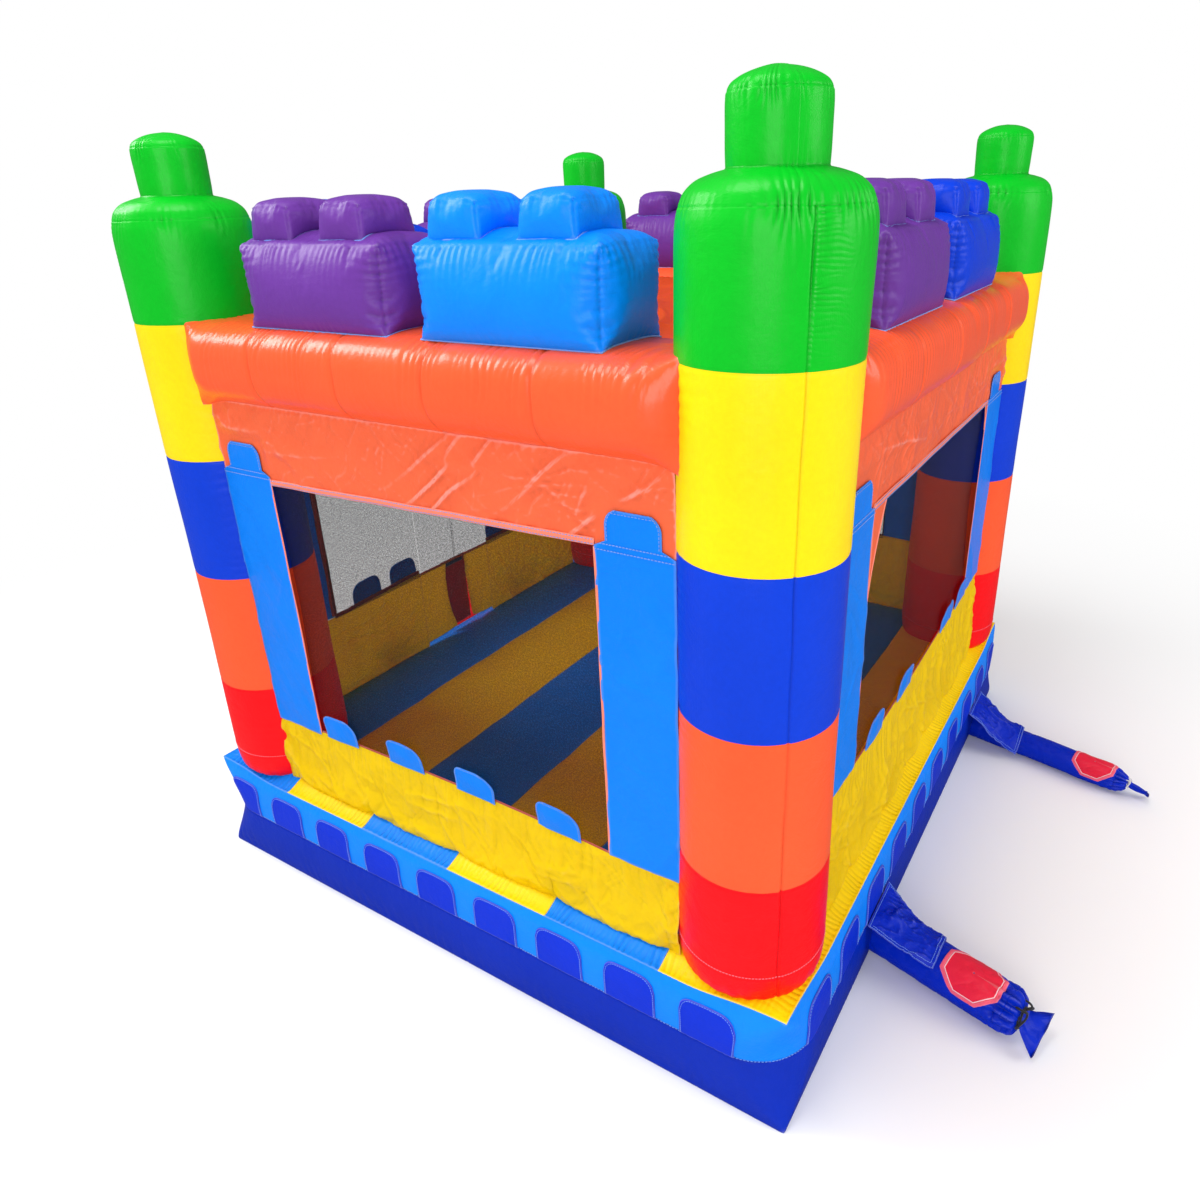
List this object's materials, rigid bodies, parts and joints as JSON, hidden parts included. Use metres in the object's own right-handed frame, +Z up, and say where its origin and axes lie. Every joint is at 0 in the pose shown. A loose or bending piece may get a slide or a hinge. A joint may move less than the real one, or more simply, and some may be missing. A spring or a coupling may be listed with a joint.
{
  "type": "inflatable bounce house",
  "caption": "Square air-filled play house with corner columns, a beam ring with toy-brick crenels, mesh windows, a two-flap entrance with ramp, and tied inflation sleeves.",
  "frame": {"origin": "centre of the base's footprint, on the ground", "axes": "+Z up, +X towards the side with the two inflation tubes, -X towards the entrance, -Y towards the front wall"},
  "size_m": [4.8354, 3.368, 3.276],
  "materials": {
    "base_vinyl": "satin",
    "baffle_fabric": "matte",
    "light_blue_vinyl": "satin",
    "yellow_vinyl": "satin",
    "column_vinyl": "satin",
    "orange_vinyl": "satin",
    "window_net": "matte",
    "red_vinyl": "satin",
    "royal_blue_vinyl": "satin",
    "purple_vinyl": "satin",
    "dark_cord": "matte",
    "pale_cord": "matte"
  },
  "bodies": {
    "house": {"base_skin": "base_vinyl", "beam_back": "orange_vinyl", "beam_front": "orange_vinyl", "beam_left": "orange_vinyl", "beam_right": "orange_vinyl", "brick_back_1": "light_blue_vinyl", "brick_back_2": "purple_vinyl", "brick_front_1": "purple_vinyl", "brick_front_2": "light_blue_vinyl", "brick_left_1": "purple_vinyl", "brick_left_2": "royal_blue_vinyl", "brick_right_1": "purple_vinyl", "brick_right_2": "royal_blue_vinyl", "column_back_left": "column_vinyl", "column_back_right": "column_vinyl", "column_front_left": "column_vinyl", "column_front_right": "column_vinyl", "floor_baffles": "baffle_fabric", "floor_panel_1": "light_blue_vinyl", "floor_panel_2": "yellow_vinyl", "floor_panel_3": "light_blue_vinyl", "floor_panel_4": "yellow_vinyl", "floor_panel_5": "light_blue_vinyl", "floor_panel_6": "yellow_vinyl", "header_back": "orange_vinyl", "header_front": "orange_vinyl", "header_left": "orange_vinyl", "header_right": "orange_vinyl", "low_wall_back": "yellow_vinyl", "low_wall_front": "yellow_vinyl", "low_wall_left_back": "yellow_vinyl", "low_wall_left_front": "yellow_vinyl", "low_wall_right": "yellow_vinyl", "ramp": "red_vinyl", "ramp_rail_back": "red_vinyl", "ramp_rail_front": "red_vinyl", "roof_sheet": "orange_vinyl", "wall_strip_back_1": "light_blue_vinyl", "wall_strip_back_2": "light_blue_vinyl", "wall_strip_front_1": "light_blue_vinyl", "wall_strip_front_2": "light_blue_vinyl", "wall_strip_left_1": "light_blue_vinyl", "wall_strip_left_2": "light_blue_vinyl", "wall_strip_right_1": "light_blue_vinyl", "wall_strip_right_2": "light_blue_vinyl", "window_mesh_back": "window_net", "window_mesh_front": "window_net", "window_mesh_left_back": "window_net", "window_mesh_left_front": "window_net", "window_mesh_right": "window_net"},
    "door_front": {"door_panel_front": "yellow_vinyl", "door_mesh_front": "window_net"},
    "door_back": {"door_panel_back": "yellow_vinyl", "door_mesh_back": "window_net"},
    "tube_near": {"inflation_tube_near": "royal_blue_vinyl", "tube_tie_near": "dark_cord"},
    "tube_far": {"inflation_tube_far": "royal_blue_vinyl", "tube_tie_far": "pale_cord"},
    "flap_near": {"cover_flap_near": "royal_blue_vinyl"},
    "flap_far": {"cover_flap_far": "royal_blue_vinyl"}
  },
  "joints": [
    {"name": "door_front_hinge", "type": "hinge", "parent": "house", "child": "door_front", "pos_m": [-1.418, -0.297, 1.2], "axis": [0, 0, 1], "range_deg": [-90, 100]},
    {"name": "door_back_hinge", "type": "hinge", "parent": "house", "child": "door_back", "pos_m": [-1.418, 0.297, 1.2], "axis": [0, 0, -1], "range_deg": [-90, 100]},
    {"name": "tube_near_swing", "type": "hinge", "parent": "house", "child": "tube_near", "pos_m": [1.647, -0.734, 0.1], "axis": [0, 0, 1], "range_deg": [-20, 20]},
    {"name": "tube_far_swing", "type": "hinge", "parent": "house", "child": "tube_far", "pos_m": [1.622, 1.109, 0.073], "axis": [0, 0, 1], "range_deg": [-20, 20]},
    {"name": "flap_near_lift", "type": "hinge", "parent": "house", "child": "flap_near", "pos_m": [1.546, -0.734, 0.262], "axis": [0, -1, 0], "range_deg": [0, 80]},
    {"name": "flap_far_lift", "type": "hinge", "parent": "house", "child": "flap_far", "pos_m": [1.546, 1.109, 0.262], "axis": [0, -1, 0], "range_deg": [0, 80]}
  ]
}
